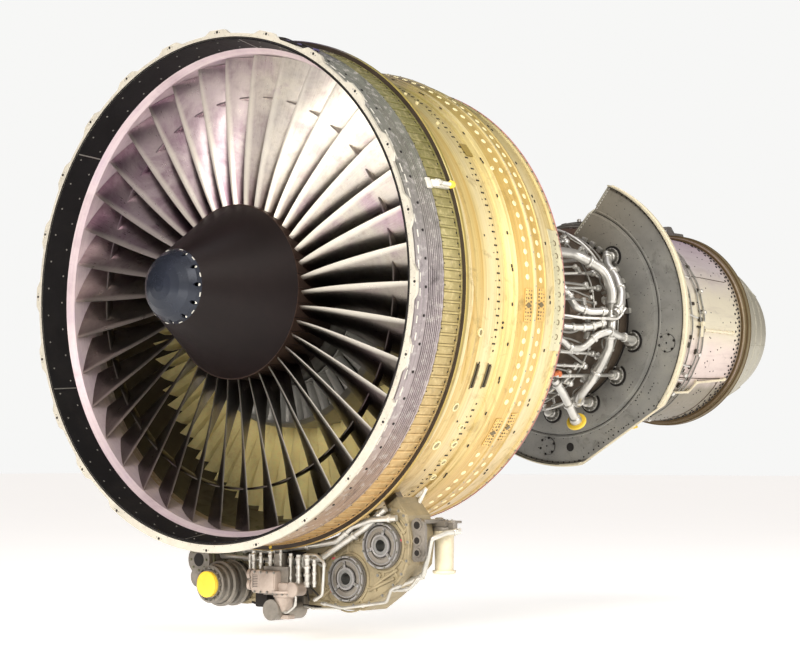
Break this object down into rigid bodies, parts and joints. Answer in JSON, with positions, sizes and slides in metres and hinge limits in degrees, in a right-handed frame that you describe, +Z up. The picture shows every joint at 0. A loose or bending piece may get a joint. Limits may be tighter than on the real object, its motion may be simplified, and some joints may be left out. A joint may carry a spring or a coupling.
{
  "type": "jet engine",
  "caption": "High-bypass turbofan jet engine with a front fan, a bare fan case, an exposed core, an exhaust nozzle and an underslung accessory gearbox.",
  "frame": {"origin": "centre of the front flange plane, on the engine axis", "axes": "+Y aft along the engine axis, +Z up, +X towards the side with the accessory pads"},
  "size_m": [2.384, 4.758, 2.695],
  "materials": {
    "flange_metal": "satin",
    "black_liner": "matte",
    "abradable": "matte",
    "case_grey": "satin",
    "rib_gold": "satin",
    "case_yellow": "satin",
    "titanium": "satin",
    "spinner_black": "satin",
    "cap_blue": "gloss",
    "vane_gold": "satin",
    "frame_metal": "satin",
    "steel": "satin",
    "hot_section": "matte",
    "bulkhead_grey": "matte",
    "tube_silver": "satin",
    "turbine_cream": "satin",
    "nozzle_olive": "matte",
    "gearbox_beige": "satin",
    "accessory_grey": "satin",
    "cap_yellow": "matte",
    "canister_cream": "satin",
    "gear_steel": "satin"
  },
  "bodies": {
    "stator": {"inlet_flange_ring": "flange_metal", "acoustic_liner": "black_liner", "abradable_strip": "abradable", "containment_case": "case_grey", "rib_ring": "rib_gold", "aft_fan_case": "case_yellow", "case_blister": "case_yellow", "outlet_guide_vanes": "vane_gold", "core_inlet_splitter": "frame_metal", "booster_stator_vanes": "tube_silver", "fan_frame": "frame_metal", "bearing_support_cone": "frame_metal", "lp_front_bearing": "steel", "core_front_bearing": "steel", "compressor_case": "steel", "combustor_case": "hot_section", "bulkhead_plate": "bulkhead_grey", "bulkhead_fittings": "tube_silver", "bulkhead_covers": "bulkhead_grey", "fuel_manifold": "tube_silver", "bleed_tube_upper": "tube_silver", "bleed_tube_cross": "tube_silver", "bleed_tube_lower": "tube_silver", "tube_cap": "cap_yellow", "turbine_case": "turbine_cream", "turbine_rear_frame": "hot_section", "lp_rear_bearing": "steel", "core_rear_bearing": "steel", "exhaust_nozzle": "nozzle_olive", "tail_cone": "nozzle_olive", "forward_mount": "steel", "aft_mount": "steel", "gearbox_housing": "gearbox_beige", "gearbox_cover": "gearbox_beige", "accessory_pads": "accessory_grey", "starter": "accessory_grey", "starter_cap": "cap_yellow", "fuel_pump": "accessory_grey", "oil_separator": "accessory_grey", "oil_canister": "canister_cream", "oil_feed_pipe": "tube_silver", "gearbox_brackets": "accessory_grey", "transfer_gearbox": "gearbox_beige"},
    "lp_rotor": {"nose_cap": "cap_blue", "nose_bolts": "steel", "spinner_cone": "spinner_black", "fan_disk": "titanium", "fan_blades": "titanium", "booster_rotor": "titanium", "lp_shaft": "steel", "lp_turbine_rotor": "hot_section"},
    "core_rotor": {"core_compressor_rotor": "titanium", "core_turbine_rotor": "hot_section"},
    "radial_shaft": {"radial_drive_shaft": "gear_steel"},
    "drive_shaft": {"horizontal_drive_shaft": "gear_steel"},
    "idler": {"idler_gear": "gear_steel"},
    "generator_drive": {"generator_gear": "gear_steel"},
    "hydraulic_drive": {"hydraulic_gear": "gear_steel"},
    "starter_idler": {"starter_idler_gear": "gear_steel"},
    "starter_drive": {"starter_gear": "gear_steel"}
  },
  "joints": [
    {"name": "lp_spin", "type": "hinge", "parent": "stator", "child": "lp_rotor", "pos_m": [0, 0.3, 0], "axis": [0, 1, 0], "continuous": true},
    {"name": "core_spin", "type": "hinge", "parent": "stator", "child": "core_rotor", "pos_m": [0, 1.8, 0], "axis": [0, 1, 0], "continuous": true},
    {"name": "radial_spin", "type": "hinge", "parent": "stator", "child": "radial_shaft", "pos_m": [0, 1.1, -0.7], "axis": [0, 0, 1], "continuous": true},
    {"name": "idler_spin", "type": "hinge", "parent": "stator", "child": "idler", "pos_m": [0.192, 0.545, -1.311], "axis": [0, 1, 0], "continuous": true},
    {"name": "generator_drive_spin", "type": "hinge", "parent": "stator", "child": "generator_drive", "pos_m": [0.432, 0.545, -1.311], "axis": [0, 1, 0], "continuous": true},
    {"name": "hydraulic_drive_spin", "type": "hinge", "parent": "stator", "child": "hydraulic_drive", "pos_m": [0.6362, 0.545, -1.1566], "axis": [0, 1, 0], "continuous": true},
    {"name": "starter_idler_spin", "type": "hinge", "parent": "stator", "child": "starter_idler", "pos_m": [-0.12432, 0.545, -1.361], "axis": [0, 1, 0], "continuous": true},
    {"name": "starter_drive_spin", "type": "hinge", "parent": "stator", "child": "starter_drive", "pos_m": [-0.25, 0.545, -1.352], "axis": [0, 1, 0], "continuous": true},
    {"name": "drive_shaft_spin", "type": "hinge", "parent": "stator", "child": "drive_shaft", "pos_m": [0, 0.545, -1.311], "axis": [0, 1, 0], "continuous": true}
  ],
  "couplings": [
    {"joint": "radial_spin", "follows": "core_spin", "ratio": 1},
    {"joint": "drive_shaft_spin", "follows": "core_spin", "ratio": 1},
    {"joint": "idler_spin", "follows": "core_spin", "ratio": -0.71429},
    {"joint": "generator_drive_spin", "follows": "core_spin", "ratio": 0.625},
    {"joint": "hydraulic_drive_spin", "follows": "core_spin", "ratio": -0.625},
    {"joint": "starter_idler_spin", "follows": "core_spin", "ratio": -1.4815},
    {"joint": "starter_drive_spin", "follows": "core_spin", "ratio": 1.1111}
  ]
}
